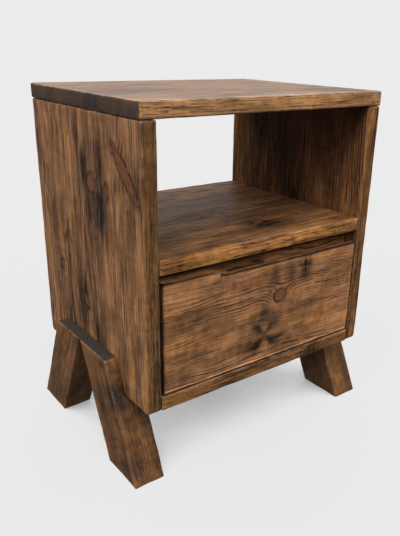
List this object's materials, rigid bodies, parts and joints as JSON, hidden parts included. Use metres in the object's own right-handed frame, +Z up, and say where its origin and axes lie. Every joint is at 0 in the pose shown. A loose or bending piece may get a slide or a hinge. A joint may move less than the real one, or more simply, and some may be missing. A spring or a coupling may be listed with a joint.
{
  "type": "nightstand",
  "caption": "Open nightstand in dark stained pine: a shelf compartment open front and back, an inset drawer below with a scooped finger edge, and splayed A-shaped pairs of notched legs.",
  "frame": {"origin": "on the floor, under the middle of the case", "axes": "+Z up, -Y out of the front of the drawer, +X to the right when facing the front from the front side"},
  "size_m": [0.397, 0.286, 0.458],
  "materials": {
    "case_pine": "dark stained pine, satin wax",
    "leg_pine": "dark stained pine, satin wax",
    "front_pine": "dark stained pine, satin wax",
    "box_pine": "amber stained pine, satin",
    "beech": "bare beech",
    "birch_ply": "bare birch plywood",
    "zinc_steel": "zinc plated"
  },
  "bodies": {
    "case": {"top_board": "case_pine", "left_side_panel": "case_pine", "right_side_panel": "case_pine", "shelf_board": "case_pine", "bottom_board": "case_pine", "back_board": "case_pine", "front_left_leg": "leg_pine", "rear_left_leg": "leg_pine", "front_right_leg": "leg_pine", "rear_right_leg": "leg_pine", "left_drawer_runner": "beech", "right_drawer_runner": "beech", "top_dowels": "beech", "shelf_dowels": "beech", "bottom_dowels": "beech", "back_dowels": "beech", "leg_screws": "zinc_steel", "runner_screws": "zinc_steel"},
    "drawer": {"drawer_front": "front_pine", "drawer_box_front": "box_pine", "drawer_box_back": "box_pine", "drawer_left_side": "box_pine", "drawer_right_side": "box_pine", "drawer_bottom": "birch_ply", "drawer_box_dowels": "beech", "drawer_front_screws": "zinc_steel"}
  },
  "joints": [
    {"name": "drawer_slide", "type": "slide", "parent": "case", "child": "drawer", "axis": [0, -1, 0], "range_m": [0, 0.18]}
  ]
}
